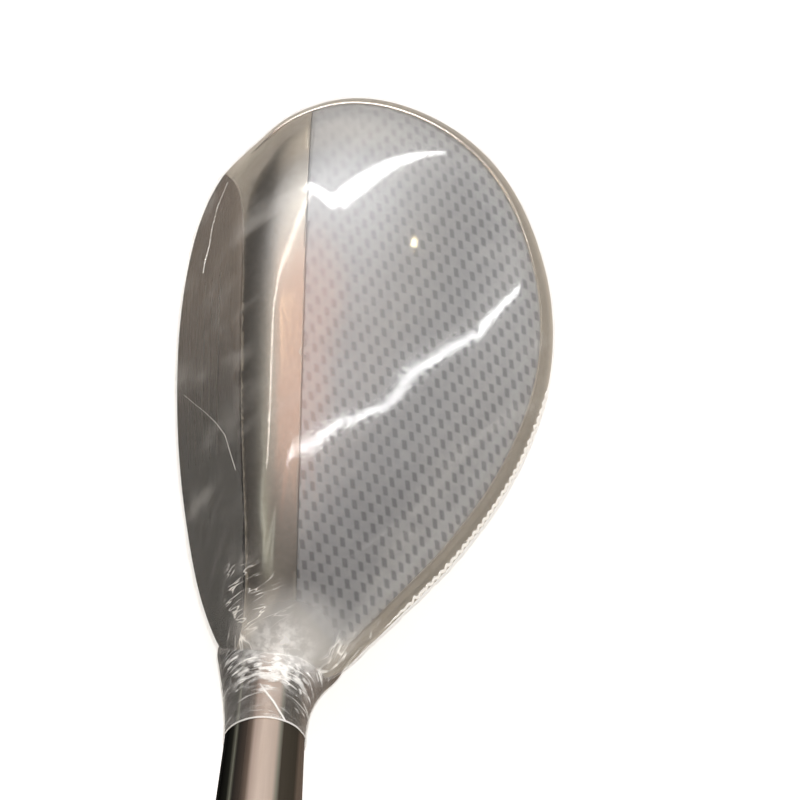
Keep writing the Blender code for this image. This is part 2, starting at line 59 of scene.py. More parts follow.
def newMaterial(name, **sockets):
    material = bpy.data.materials.new(name)
    material.use_nodes = True
    tree = material.node_tree
    shader = tree.nodes["Principled BSDF"]
    for key, value in sockets.items():
        shader.inputs[key.replace("_", " ")].default_value = value
    return material, tree, shader


def ramp(tree, value, stops):
    node = addNode(tree, "ShaderNodeValToRGB", {}, {0: value})
    elements = node.color_ramp.elements
    elements[0].position = stops[0][0]
    elements[0].color = colour(stops[0][1])
    elements[1].position = stops[-1][0]
    elements[1].color = colour(stops[-1][1])
    for position, shade in stops[1:-1]:
        elements.new(position).color = colour(shade)
    return node.outputs[0]


def fade(tree, value, low, high, top=1):
    return addNode(tree, "ShaderNodeMapRange", {"interpolation_type": "SMOOTHSTEP"},
                   {"Value": value, "From Min": low, "From Max": high, "To Max": top}).outputs[0]


def calc(tree, operation, *values):
    return addNode(tree, "ShaderNodeMath", {"operation": operation}, dict(enumerate(values))).outputs[0]


def vector(tree, operation, *values):
    node = addNode(tree, "ShaderNodeVectorMath", {"operation": operation}, dict(enumerate(values)))
    return node.outputs["Value" if operation in ("DOT_PRODUCT", "LENGTH", "DISTANCE") else "Vector"]


def mixColour(tree, factor, first, second, blend="MIX"):
    return addNode(tree, "ShaderNodeMix", {"data_type": "RGBA", "blend_type": blend},
                   {0: factor, 6: first, 7: second}).outputs[2]


def mixShader(tree, factor, first, second):
    return addNode(tree, "ShaderNodeMixShader", {}, {0: factor, 1: first, 2: second}).outputs[0]


def addShader(tree, first, second):
    return addNode(tree, "ShaderNodeAddShader", {}, {0: first, 1: second}).outputs[0]


def glowing(tree, tint, strength):
    return addNode(tree, "ShaderNodeEmission", {}, {"Color": tint, "Strength": strength}).outputs[0]


def noiseLevel(tree, place, scale, detail):
    return addNode(tree, "ShaderNodeTexNoise", {},
                   {"Vector": place, "Scale": scale, "Detail": detail}).outputs[0]


def objectPlace(tree):
    return addNode(tree, "ShaderNodeTexCoord").outputs["Object"]


def toMm(tree, place):
    return addNode(tree, "ShaderNodeVectorMath", {"operation": "SCALE"},
                   {0: place, "Scale": 1 / mm}).outputs[0]


def showSurface(tree, look):
    tree.links.new(look, tree.nodes["Material Output"].inputs["Surface"])


def makePiece(name, bm, material, *nodes, slot=None):
    bmesh.ops.recalc_face_normals(bm, faces=bm.faces)
    mesh = bpy.data.meshes.new(name)
    bm.to_mesh(mesh)
    bm.free()
    for face in mesh.polygons:
        face.use_smooth = True
    piece = bpy.data.objects.new(name, mesh)
    bpy.context.collection.objects.link(piece)
    mesh.materials.append(material)
    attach(piece, "club")
    if nodes:
        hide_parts(*nodes)
    return piece


def thicken(piece, thickness):
    solid = piece.modifiers.new("wall", "SOLIDIFY")
    solid.thickness = thickness
    solid.offset = -1


def spun(profile, steps, place):
    bm = bmesh.new()
    verts = [bm.verts.new((radius, 0, height)) for radius, height in profile]
    edges = [bm.edges.new(pair) for pair in zip(verts, verts[1:])]
    bmesh.ops.spin(bm, geom=verts + edges, cent=(0, 0, 0), axis=(0, 0, 1), angle=2 * math.pi,
                   steps=steps, use_merge=True)
    bmesh.ops.remove_doubles(bm, verts=bm.verts, dist=1e-6)
    bmesh.ops.transform(bm, matrix=place, verts=bm.verts)
    return bm


def smooth(low, high, value):
    t = min(1, max(0, (value - low) / (high - low)))
    return t * t * (3 - 2 * t)


form = {
    "outline": [(0, 44.2), (25, 47.5), (48, 50.9), (65, 51.3), (79, 49.9), (91, 46.2), (102, 41.2),
                (113, 37.8), (130, 36.8), (155, 34.2), (180, 32.2), (205, 34.0), (228, 39.4),
                (246, 47.6), (262, 54.5), (276, 54.2), (284, 50.1), (292, 46.8), (302, 44.3),
                (318, 42.2), (338, 42.1)],
    "height": 16, "rise": 5, "crown": 36.8, "powerBack": 2.2, "powerFace": 5.4, "crownRoot": 1.7,
    "rollX": -3, "rollRadius": 14, "rollLimit": 0.5, "rollBlend": 3,
    "soleFlat": 0.2, "solePower": 2.4, "leadingEdge": -24.3, "bulge": 400, "loft": 22,
    "panelRim": 2.4, "relief": 11, "reliefStart": 79, "reliefSpan": 13, "seamX": 0.95, "seamSlope": 0.024,
    "segments": 260, "rings": 120, "rimRing": 42, "edgeRound": 1.3,
}
lie = math.radians(59.5)
shaftFoot = (Matrix.Translation((-4.7 * mm, -41.5 * mm, 0)) @ Matrix.Rotation(math.pi / 2 - lie, 4, "X"))
faceFrame = (Matrix.Translation((form["leadingEdge"] * mm, 0, 0))
             @ Matrix.Rotation(math.radians(form["loft"]), 4, "Y"))


def outlineRadius(degrees):
    knots = form["outline"]
    degrees %= 360
    count = len(knots)
    last = max(i for i in range(count) if knots[i][0] <= degrees)
    angles = [knots[(last + k) % count][0] + 360 * ((last + k) // count) for k in range(-1, 3)]
    radii = [knots[(last + k) % count][1] for k in range(-1, 3)]
    span = angles[2] - angles[1]
    t = (degrees - angles[1]) / span
    start = (radii[2] - radii[0]) / (angles[2] - angles[0]) * span
    end = (radii[3] - radii[1]) / (angles[3] - angles[1]) * span
    return ((2 * t ** 3 - 3 * t ** 2 + 1) * radii[1] + (t ** 3 - 2 * t ** 2 + t) * start
            + (3 * t ** 2 - 2 * t ** 3) * radii[2] + (t ** 3 - t ** 2) * end)


def panelRadius(degrees, gap):
    relief = 0
    if degrees > 180:
        relief = form["relief"] * smooth(0, 1, (360 - degrees - form["reliefStart"]) / form["reliefSpan"])
        relief *= smooth(200, 255, degrees)
    return outlineRadius(degrees) - form["panelRim"] - relief - gap


def formPoint(degrees, share, upper, grow):
    angle = math.radians(degrees)
    radius = outlineRadius(degrees) + grow
    middle = form["height"] + form["rise"] * math.sin(angle) ** 2
    if upper:
        power = form["powerBack"] + (form["powerFace"] - form["powerBack"]) * (1 - math.cos(angle)) / 2
        rise = (form["crown"] + grow - middle) * max(0, 1 - share ** power) ** (1 / form["crownRoot"])
        ahead = max(0, form["rollX"] - math.cos(angle) * (radius - grow) * share)
        drop = ahead ** 2 / (2 * form["rollRadius"])
        limit = form["rollLimit"] * rise
        z = middle + rise
        if drop and limit:
            z -= (drop ** -form["rollBlend"] + limit ** -form["rollBlend"]) ** (-1 / form["rollBlend"])
    else:
        slope = max(0, (share - form["soleFlat"]) / (1 - form["soleFlat"]))
        z = middle - (middle + grow) * math.sqrt(max(0, 1 - slope ** form["solePower"]))
    return Vector((math.cos(angle) * radius * share, math.sin(angle) * radius * share, z)) * mm


def sag(y):
    return form["bulge"] * mm - math.sqrt((form["bulge"] * mm) ** 2 - y * y)


# a round ball taken to the head's form, one of its rings on the panel's edge, cut along the face's edge
def headBall(grow, gap, segments, rings):
    bm = bmesh.new()
    bmesh.ops.create_uvsphere(bm, u_segments=segments, v_segments=rings, radius=1)
    edgeShare = math.sin(math.pi * form["rimRing"] / form["rings"])
    for vert in bm.verts:
        degrees = math.degrees(math.atan2(vert.co.y, vert.co.x)) % 360
        share = min(1, math.hypot(vert.co.x, vert.co.y))
        upper = vert.co.z >= -1e-6
        if upper:
            rim = panelRadius(degrees, gap) / outlineRadius(degrees)
            if share <= edgeShare + 1e-4:
                share = share / edgeShare * rim
            else:
                share = rim + (share - edgeShare) / (1 - edgeShare) * (1 - rim)
        vert.co = formPoint(degrees, share, upper, grow)
    bmesh.ops.transform(bm, matrix=faceFrame.inverted(), verts=bm.verts)
    for vert in bm.verts:
        vert.co.x -= sag(vert.co.y) - grow * mm
    bmesh.ops.bisect_plane(bm, geom=bm.verts[:] + bm.edges[:] + bm.faces[:], dist=1e-7,
                           plane_co=(0, 0, 0), plane_no=(-1, 0, 0))
    onFace = bm.faces.layers.int.new("onFace")
    for face in bm.faces:
        face[onFace] = face.calc_center_median().x < 0
    softness = form["edgeRound"] * mm
    for vert in bm.verts:
        vert.co.x = (vert.co.x + math.sqrt(vert.co.x ** 2 + softness ** 2)) / 2
        vert.co.x += sag(vert.co.y) - grow * mm
    bmesh.ops.transform(bm, matrix=faceFrame, verts=bm.verts)
    bmesh.ops.bisect_plane(bm, geom=bm.verts[:] + bm.edges[:] + bm.faces[:], dist=1e-7,
                           plane_co=((form["seamX"] + gap) * mm, 0, 0),
                           plane_no=(-1, form["seamSlope"], 0))
    onPanel = bm.faces.layers.int.new("onPanel")
    for face in bm.faces:
        centre = face.calc_center_median()
        behind = centre.x > (form["seamX"] + gap) * mm + form["seamSlope"] * centre.y
        degrees = math.degrees(math.atan2(centre.y, centre.x)) % 360
        inside = math.hypot(centre.x, centre.y) < panelRadius(degrees, gap) * mm
        face[onPanel] = behind and inside and centre.z > 17 * mm
    return bm


def dropFaces(bm, layer, value):
    key = bm.faces.layers.int[layer]
    bmesh.ops.delete(bm, geom=[face for face in bm.faces if face[key] == value], context="FACES")


print("materials")
# satin steel: soft warm reflections over hair-fine brushing that runs along the part
def brushedSteel(name, base, roughness, stretch, turn=(0, 0, 0), bump=0.02):
    material, tree, shader = newMaterial(name, Metallic=1, Roughness=roughness)
    place = objectPlace(tree)
    place = addNode(tree, "ShaderNodeMapping", {}, {"Vector": place, "Rotation": turn}).outputs[0]
    scaled = vector(tree, "MULTIPLY", place, stretch)
    grain = noiseLevel(tree, scaled, 1, 3)
    tone = mixColour(tree, grain, colour(base[0]), colour(base[1]))
    tree.links.new(tone, shader.inputs["Base Color"])
    relief = addNode(tree, "ShaderNodeBump", {},
                     {"Height": grain, "Strength": bump, "Distance": 0.5 * mm})
    tree.links.new(relief.outputs[0], shader.inputs["Normal"])
    return material, tree, shader, tone


steel, tree, shader, tone = brushedSteel("satin_steel", ("#b4a998", "#d3caba"), 0.28, (900, 900, 900))
# painted highlight and shade by view angle: the steel is made lighter towards its outline and dark right
# at the silhouette
facing = addNode(tree, "ShaderNodeLayerWeight", {}, {"Blend": 0.5}).outputs["Facing"]
edge = ramp(tree, facing, [(0, "#c8c8c8"), (0.6, "#c8c8c8"), (0.8, "#f6f6f6"), (0.9, "#f6f6f6"),
                           (0.98, "#6c675f")])
tone = mixColour(tree, 1, tone, edge, "MULTIPLY")
tree.links.new(tone, shader.inputs["Base Color"])

# polished edge round the crown panel, a thin bright line
rimSteel = brushedSteel("polished_rim_steel", ("#e8e0d4", "#f6f0e6"), 0.16, (900, 900, 900))[0]

# hosel steel: brushed along the tube, with long light and dark reflection bands painted across it by
# position
hoselPaintedReflectionBands = [(0, "#131312"), (0.08, "#1c1c1b"), (0.16, "#2d2e2a"), (0.2, "#84867b"),
              (0.23, "#3a3734"), (0.32, "#544c46"), (0.38, "#7a6d64"), (0.425, "#c6b5ab"),
              (0.52, "#e2d2c7"), (0.68, "#cfbfb4"), (0.72, "#96958a"), (0.755, "#504b43"),
              (0.91, "#49443c"), (0.945, "#786b60"), (1, "#80736a")]
hoselSteel, tree, shader, tone = brushedSteel(
    "brushed_hosel_steel", ("#eeebe8", "#ffffff"), 0.36, (2500, 2500, 60), (lie - math.pi / 2, 0, 0), 0.05)
place = objectPlace(tree)
across = addNode(tree, "ShaderNodeSeparateXYZ", {}, {0: place}).outputs[0]
across = addNode(tree, "ShaderNodeMapRange", {},
                 {"Value": across, "From Min": -11.6 * mm, "From Max": 2.2 * mm})
# painted reflection: light and dark bands set by place across the tube
paintedReflectionBands = ramp(tree, across.outputs[0], hoselPaintedReflectionBands)
tone = mixColour(tree, 1, tone, paintedReflectionBands, "MULTIPLY")
tree.links.new(tone, shader.inputs["Base Color"])
shader.inputs["Metallic"].default_value = 0.3
shader.inputs["Specular IOR Level"].default_value = 0
shader.inputs["Specular Tint"].default_value = colour("#2c2c2a")

# face steel, brushed from heel to toe, with painted shade that darkens it towards the heel
faceSteel, tree, shader, tone = brushedSteel(
    "brushed_face_steel", ("#776d65", "#b3a598"), 0.38, (4200, 45, 4200), bump=0.1)
place = objectPlace(tree)
north = addNode(tree, "ShaderNodeSeparateXYZ", {}, {0: place}).outputs[1]
# painted shade: the face darkens towards the heel
paintedHeelShade = fade(tree, north, 24 * mm, -26 * mm)
tone = mixColour(tree, paintedHeelShade, tone, colour("#15191b"), "MULTIPLY")
tree.links.new(tone, shader.inputs["Base Color"])
shader.inputs["Specular Tint"].default_value = colour("#3c3a38")


# woven carbon under clear lacquer: short dark marks stand on a lighter grey, tow over tow
weave = {"across": (0.738, 0.077, 0), "along": (-0.105, -0.592, 0)}  # cells per mm of x, y
carbon, tree, shader = newMaterial("carbon_weave", Roughness=0.42, Specular_IOR_Level=1)
shader.inputs["Coat Weight"].default_value = 0.4
place = objectPlace(tree)
inMm = toMm(tree, place)
across = vector(tree, "DOT_PRODUCT", inMm, weave["across"])
along = vector(tree, "DOT_PRODUCT", inMm, weave["along"])
cells = addNode(tree, "ShaderNodeCombineXYZ", {}, {0: across, 1: along}).outputs[0]
drift = addNode(tree, "ShaderNodeTexNoise", {}, {"Vector": place, "Scale": 140, "Detail": 1}).outputs[1]
drift = vector(tree, "MULTIPLY_ADD", drift, (0.4, 0.4, 0), cells)
over = addNode(tree, "ShaderNodeTexChecker", {}, {"Vector": drift, "Scale": 1}).outputs["Fac"]
inCell = vector(tree, "SUBTRACT", vector(tree, "FRACTION", drift), (0.5, 0.5, 0))
parts = addNode(tree, "ShaderNodeSeparateXYZ", {}, {0: vector(tree, "ABSOLUTE", inCell)}).outputs
upright = calc(tree, "MULTIPLY", fade(tree, parts[0], 0.44, 0.16), fade(tree, parts[1], 0.58, 0.34))
mark = calc(tree, "MULTIPLY", upright, over)
# painted sheen: the dark marks fade towards the face and toe, as if washed out by a broad reflection
strength = fade(tree, vector(tree, "DOT_PRODUCT", inMm, (0.86, -0.5, 0)), -22, 22, 0.84)
mark = calc(tree, "MULTIPLY", mark, calc(tree, "ADD", strength, 0.16))
fibre = noiseLevel(tree, place, 620, 4)
tow = mixColour(tree, fibre, colour("#82848a"), colour("#a9abac"))
look = mixColour(tree, mark, tow, colour("#585a62"))
tree.links.new(look, shader.inputs["Base Color"])

# thin clear wrapping film: sharp reflections with a soft bloom round them, white where it is creased,
# partly painted sheen, with painted glints, haze and wisps and a faint painted glow
film, tree, shader = newMaterial("clear_film")
tree.nodes.remove(shader)
creases = {"line": 0.035, "neck": (0.09, 0.09, 0.5), "root": (0.1, 0.75, 0.1), "rootSpot": (-6, -40, 28),
           "domeSpot": (0.2, -46.5, 26), "end": 49.5, "endSlope": 0.616,
           "heelSpot": (3.3, -58, 22)}
place = objectPlace(tree)
inMm = toMm(tree, place)
upright = addNode(tree, "ShaderNodeMapping", {"vector_type": "TEXTURE"},
                  {"Vector": inMm, "Location": (-4.7, -41.5, 0),
                   "Rotation": (math.pi / 2 - lie, 0, 0)}).outputs[0]
sides = addNode(tree, "ShaderNodeSeparateXYZ", {}, {0: upright}).outputs
patch = noiseLevel(tree, inMm, 0.32, 1)
patch = fade(tree, patch, 0.4, 0.6)


# thin lines where a stretched noise crosses its middle value
def foldLines(spot, stretch, width):
    noiseAt = vector(tree, "MULTIPLY", spot, stretch)
    level = addNode(tree, "ShaderNodeTexNoise", {},
                    {"Vector": noiseAt, "Scale": 1, "Detail": 2, "Distortion": 0.5}).outputs[0]
    level = calc(tree, "ABSOLUTE", calc(tree, "SUBTRACT", level, 0.5))
    return calc(tree, "MULTIPLY", fade(tree, level, width, 0), patch)


neckFold = foldLines(upright, creases["neck"], creases["line"])
onNeck = calc(tree, "MULTIPLY", fade(tree, sides[2], 21, 27), fade(tree, sides[1], 11, 9))
busy = calc(tree, "ADD", fade(tree, sides[2], 48, 40, 0.75), 0.2)
neckFold = calc(tree, "MULTIPLY", neckFold, calc(tree, "MULTIPLY", onNeck, busy))
turned = addNode(tree, "ShaderNodeVectorRotate", {"rotation_type": "Z_AXIS"},
                 {"Vector": inMm, "Angle": math.radians(-24)}).outputs[0]
rootFold = foldLines(turned, creases["root"], creases["line"])
rootFold = calc(tree, "MULTIPLY", rootFold,
                fade(tree, vector(tree, "DISTANCE", inMm, creases["rootSpot"]), 9, 5, 0.8))
# painted glow: a white cloudy patch over the film on the neck
paintedNeckGlow = fade(tree, vector(tree, "DISTANCE", upright, (1.2, 6.9, 34.5)), 10, 2, 0.8)
slash = vector(tree, "DOT_PRODUCT", upright, (-2.5, 0, 1))
slash = fade(tree, calc(tree, "ABSOLUTE", calc(tree, "SUBTRACT", slash, 44)), 0.9, 0.2, 0.8)
slashEnds = calc(tree, "MULTIPLY", fade(tree, sides[0], -1.2, 0), fade(tree, sides[0], 5, 4))
slash = calc(tree, "MULTIPLY", slash, slashEnds)
ending = vector(tree, "DOT_PRODUCT", upright, (0, -creases["endSlope"], 1))
ending = fade(tree, ending, creases["end"] - 0.5, creases["end"] - 0.1, 0.75)
# painted glints: small white dots on the film over the heel's dome
cell = addNode(tree, "ShaderNodeTexVoronoi", {}, {"Vector": inMm, "Scale": 1.1})
paintedGlint = calc(tree, "MULTIPLY", fade(tree, cell.outputs["Distance"], 0.3, 0.16),
             fade(tree, vector(tree, "DISTANCE", inMm, creases["domeSpot"]), 5, 2.5, 0.7))
paintedGlint = calc(tree, "MULTIPLY", paintedGlint, patch)
fromHeel = vector(tree, "SUBTRACT", inMm, creases["heelSpot"])
ways = addNode(tree, "ShaderNodeSeparateXYZ", {}, {0: fromHeel}).outputs
around = calc(tree, "MULTIPLY", calc(tree, "ARCTAN2", ways[1], ways[0]), 22)
reach = calc(tree, "MULTIPLY", vector(tree, "LENGTH", fromHeel), 0.06)
pleat = addNode(tree, "ShaderNodeCombineXYZ", {}, {0: around, 1: reach}).outputs[0]
pleat = noiseLevel(tree, pleat, 1, 2)
nearHeel = fade(tree, vector(tree, "LENGTH", fromHeel), 17, 9)
pleat = calc(tree, "MULTIPLY", fade(tree, pleat, 0.5, 0.72, 0.5), nearHeel)
pleat = calc(tree, "MULTIPLY", pleat, fade(tree, ways[0], 1, 5))
fold = calc(tree, "ADD", calc(tree, "ADD", neckFold, rootFold), pleat)
creaseAndPaintedGlint = calc(tree, "MAXIMUM", fold, calc(tree, "MAXIMUM", slash, calc(tree, "MAXIMUM", ending, paintedGlint)))
cloud = noiseLevel(tree, upright, 0.5, 3)
# the film's white: real crease lines plus painted glow, painted haze, painted wisps and painted glints
creaseWhiteAndPaintedSheen = calc(tree, "MULTIPLY", paintedNeckGlow, fade(tree, cloud, 0.4, 0.65))
creaseWhiteAndPaintedSheen = calc(tree, "ADD", creaseWhiteAndPaintedSheen, calc(tree, "MULTIPLY", creaseAndPaintedGlint, 0.85))
# painted haze: the film is whitened round the heel's dome
paintedHeelHaze = fade(tree, vector(tree, "DISTANCE", inMm, (-1, -46.5, 27)), 12, 4, 0.38)
creaseWhiteAndPaintedSheen = calc(tree, "ADD", creaseWhiteAndPaintedSheen, paintedHeelHaze)
# painted sheen: faint white wisps across the film
paintedWisps = addNode(tree, "ShaderNodeVectorRotate", {"rotation_type": "Z_AXIS"},
               {"Vector": inMm, "Angle": math.radians(-35)}).outputs[0]
paintedWisps = vector(tree, "MULTIPLY", paintedWisps, (0.045, 0.19, 0.06))
paintedWisps = noiseLevel(tree, paintedWisps, 1, 4)
creaseWhiteAndPaintedSheen = calc(tree, "ADD", creaseWhiteAndPaintedSheen, fade(tree, paintedWisps, 0.52, 0.8, 0.1))
creaseWhiteAndPaintedSheen = addNode(tree, "ShaderNodeMath", {"operation": "ADD", "use_clamp": True},
                {0: creaseWhiteAndPaintedSheen, 1: 0.02}).outputs[0]
fine = noiseLevel(tree, place, 1400, 2)
relief = calc(tree, "MULTIPLY_ADD", fine, 0.12, creaseAndPaintedGlint)
relief = addNode(tree, "ShaderNodeBump", {},
                 {"Height": relief, "Strength": 0.5, "Distance": 0.1 * mm}).outputs[0]
facing = addNode(tree, "ShaderNodeLayerWeight", {}, {"Blend": 0.5}).outputs["Facing"]
square = calc(tree, "SUBTRACT", 1, facing)
square = calc(tree, "POWER", square, 2)
square = calc(tree, "MULTIPLY", square, 0.072)
facing = calc(tree, "POWER", facing, 8)
facing = calc(tree, "MULTIPLY_ADD", facing, 0.3, 0.034)
gloss = addNode(tree, "ShaderNodeBsdfGlossy", {},
                {"Roughness": 0.07, "Color": (1, 1, 1, 1), "Normal": relief}).outputs[0]
bloom = addNode(tree, "ShaderNodeBsdfGlossy", {}, {"Roughness": 0.42, "Color": (1, 1, 1, 1)}).outputs[0]
haze = addNode(tree, "ShaderNodeBsdfDiffuse", {},
               {"Color": colour("#fbfaf8"), "Normal": relief}).outputs[0]
# painted glow: the white haze gives off a faint light of its own
paintedGlow = glowing(tree, colour("#fbf8f2"), 0.18)
haze = addShader(tree, haze, paintedGlow)
clear = addNode(tree, "ShaderNodeBsdfTransparent").outputs[0]
hazed = mixShader(tree, creaseWhiteAndPaintedSheen, clear, haze)
hazed = mixShader(tree, square, hazed, bloom)
wet = mixShader(tree, facing, hazed, gloss)
showSurface(tree, wet)

# film crimped along its welded edge: small facets that throw the light back, with a faint painted glow
crimpedFilm, tree, shader = newMaterial("crimped_film")
tree.nodes.remove(shader)
gloss = addNode(tree, "ShaderNodeBsdfGlossy", {}, {"Roughness": 0.25, "Color": (1, 1, 1, 1)}).outputs[0]
# painted glow: the crimped film gives off a faint light of its own
paintedGlow = glowing(tree, colour("#fbf6ec"), 0.2)
gloss = addShader(tree, gloss, paintedGlow)
clear = addNode(tree, "ShaderNodeBsdfTransparent").outputs[0]
look = mixShader(tree, 0.8, clear, gloss)
showSurface(tree, look)


# moulded rubber, plastics, paint and glue: plain colours broken by a fine grain
def plainFinish(name, base, roughness, metallic=0, grainScale=1500, bump=0.1):
    material, tree, shader = newMaterial(name, Roughness=roughness, Metallic=metallic)
    place = objectPlace(tree)
    grain = noiseLevel(tree, place, grainScale, 2)
    tone = mixColour(tree, grain, colour(base[0]), colour(base[1]))
    tree.links.new(tone, shader.inputs["Base Color"])
    relief = addNode(tree, "ShaderNodeBump", {}, {"Height": grain, "Strength": bump, "Distance": 0.0003})
    tree.links.new(relief.outputs[0], shader.inputs["Normal"])
    return material


finishes = {
    "crown_adhesive": plainFinish("grey_adhesive", ("#6d6a63", "#807c74"), 0.6),
    "slot_insert": plainFinish("black_slot_polymer", ("#18191b", "#232427"), 0.5),
    "hot_melt_pad": plainFinish("amber_hot_melt", ("#c9b27c", "#d9c592"), 0.35),
    "sole_weight": plainFinish("turned_weight_steel", ("#9c9a96", "#b4b1ab"), 0.25, 1),
    "weight_screw": plainFinish("black_oxide_steel", ("#2b2b2c", "#3a3a3b"), 0.35, 1),
    "weight_washer": plainFinish("black_washer_rubber", ("#161617", "#202021"), 0.8),
    "shaft_epoxy": plainFinish("grey_epoxy", ("#8d8b80", "#9b988c"), 0.4),
    "tip_plug": plainFinish("plug_brass", ("#b08d4a", "#c7a35c"), 0.3, 1),
    "grip_tape": plainFinish("paper_tape", ("#cfc6ae", "#ddd5bf"), 0.8),
}
for nodeName, finish in finishes.items():
    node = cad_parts[nodeName]
    node.data.materials.clear()
    node.data.materials.append(finish)
shaftPaint = plainFinish("black_shaft_paint", ("#17181a", "#1f2022"), 0.22, 0, 400, 0.02)
ferrulePlastic = plainFinish("black_ferrule_plastic", ("#101011", "#18181a"), 0.25)
gripRubber = plainFinish("black_grip_rubber", ("#1b1b1c", "#262627"), 0.75, 0, 3000, 0.3)
capRubber = plainFinish("black_cap_rubber", ("#1e1e1f", "#29292a"), 0.7, 0, 3000, 0.2)

print("head")
bm = headBall(0, 0, form["segments"], form["rings"])
dropFaces(bm, "onPanel", 1)
dropFaces(bm, "onFace", 1)
headShell = makePiece("headShell", bm, steel, slot="satin_steel")

bm = headBall(0, 0.2, form["segments"], form["rings"])
dropFaces(bm, "onPanel", 0)
crownPanel = makePiece("crownPanel", bm, carbon, "crown_panel", slot="carbon_weave")
thicken(crownPanel, 0.9 * mm)

# a fine polished bead closes the panel's edge round the toe
bead = {"from": 22, "to": 103, "radius": 0.36, "steps": 160, "sides": 10}
bm = bmesh.new()
bmesh.ops.create_grid(bm, x_segments=bead["steps"], y_segments=bead["sides"], size=0.5)
for vert in bm.verts:
    share = vert.co.x + 0.5
    degrees = bead["from"] + (bead["to"] - bead["from"]) * share
    angle = math.radians(degrees)
    radius = bead["radius"] * min(1, share * 5, (1 - share) * 12) + 0.02
    turn = (vert.co.y + 0.5) * 2 * math.pi
    base = formPoint(degrees, panelRadius(degrees, -0.1) / outlineRadius(degrees), True, 0) / mm
    out = Vector((math.cos(angle), math.sin(angle), 0))
    vert.co = (base + out * math.cos(turn) * radius + Vector((0, 0, math.sin(turn) * radius))) * mm
bmesh.ops.remove_doubles(bm, verts=bm.verts, dist=1e-6)
makePiece("rimBead", bm, rimSteel, slot="satin_steel")

scores = {"count": 5, "pitch": 4, "width": 0.8, "depth": 0.06, "length": 32, "lowest": 10.7}
bm = headBall(0, 0, form["segments"], form["rings"])
dropFaces(bm, "onFace", 0)
bmesh.ops.transform(bm, matrix=faceFrame.inverted(), verts=bm.verts)
cuts = [((0, side * scores["length"] / 2 * mm, 0), (0, 1, 0)) for side in (-1, 1)]
for line in range(scores["count"]):
    height = scores["lowest"] + line * scores["pitch"]
    for side in (-1, 1):
        cuts.append(((0, 0, (height + side * scores["width"] / 2) * mm), (0, 0, 1)))
for point, normal in cuts:
    bmesh.ops.bisect_plane(bm, geom=bm.verts[:] + bm.edges[:] + bm.faces[:], dist=1e-7,
                           plane_co=point, plane_no=normal)
groove = []
for face in bm.faces:
    centre = face.calc_center_median()
    above = centre.z / mm - scores["lowest"]
    step = (above + scores["pitch"] / 2) % scores["pitch"] - scores["pitch"] / 2
    row = round(above / scores["pitch"])
    within = abs(step) < scores["width"] / 2 and abs(centre.y) < scores["length"] / 2 * mm
    if within and 0 <= row < scores["count"]:
        groove.append(face)
grown = bmesh.ops.extrude_face_region(bm, geom=groove)
bmesh.ops.delete(bm, geom=groove, context="FACES")
bmesh.ops.translate(bm, verts=[g for g in grown["geom"] if isinstance(g, bmesh.types.BMVert)],
                    vec=(scores["depth"] * mm, 0, 0))
bmesh.ops.transform(bm, matrix=faceFrame, verts=bm.verts)
facePlate = makePiece("facePlate", bm, faceSteel, "face_plate", slot="brushed_face")
thicken(facePlate, 2 * mm)

# openings in the sole: the weight's pocket and the slot
opening = {"place": (25.915, 1.009, 1.869), "axis": (0.213281, -0.022088, -0.976741), "radius": 7.35,
           "depth": 20, "slotX": -13.5, "slot": (3.6, 30.4, 16)}
weightTurn = Vector(opening["axis"]).to_track_quat("Z", "Y").to_matrix().to_4x4()
weightPlace = Matrix.Translation(Vector(opening["place"]) * mm) @ weightTurn
thicken(headShell, 1.8 * mm)
pocket = bmesh.new()
bmesh.ops.create_cone(pocket, cap_ends=True, segments=96, radius1=opening["radius"] * mm,
                      radius2=opening["radius"] * mm, depth=opening["depth"] * mm, matrix=weightPlace)
slotCut = bmesh.new()
slotSize = Matrix.Diagonal([side * mm for side in opening["slot"]] + [1])
bmesh.ops.create_cube(slotCut, size=1, matrix=Matrix.Translation((opening["slotX"] * mm, 0, 0)) @ slotSize)
for name, cutter in (("pocketCut", pocket), ("slotCut", slotCut)):
    mesh = bpy.data.meshes.new(name)
    cutter.to_mesh(mesh)
    cutter.free()
    cutterPiece = bpy.data.objects.new(name, mesh)
    bpy.context.collection.objects.link(cutterPiece)
    hole = headShell.modifiers.new(name, "BOOLEAN")
    hole.operation = "DIFFERENCE"
    hole.object = cutterPiece
shaped = headShell.evaluated_get(bpy.context.evaluated_depsgraph_get())
cutMesh = bpy.data.meshes.new_from_object(shaped)
headShell.modifiers.clear()
headShell.data = cutMesh
for name in ("pocketCut", "slotCut"):
    bpy.data.objects.remove(bpy.data.objects[name])

print("hosel")
# back and front are each side's fillet: its reach and its power
hosel = {"root": 6.6, "top": 6.9, "topAt": 84, "filletTop": 49, "back": (0.00104, 2.5),
         "front": (0.0161, 1.5), "foot": 24, "sideFoot": 16, "bore": 5.1, "boreFoot": 44,
         "round": 0.5, "around": 96, "rows": 60}


def hoselRadius(at, angle):
    radius = hosel["root"]
    radius += (hosel["top"] - hosel["root"]) * smooth(hosel["boreFoot"], hosel["topAt"], at)
    reach, power = hosel["back"] if math.cos(angle) > 0 else hosel["front"]
    return radius + reach * max(0, hosel["filletTop"] - at) ** power * abs(math.cos(angle)) ** 1.5


def hoselFoot(angle):
    return hosel["foot"] + (hosel["sideFoot"] - hosel["foot"]) * math.cos(angle) ** 2


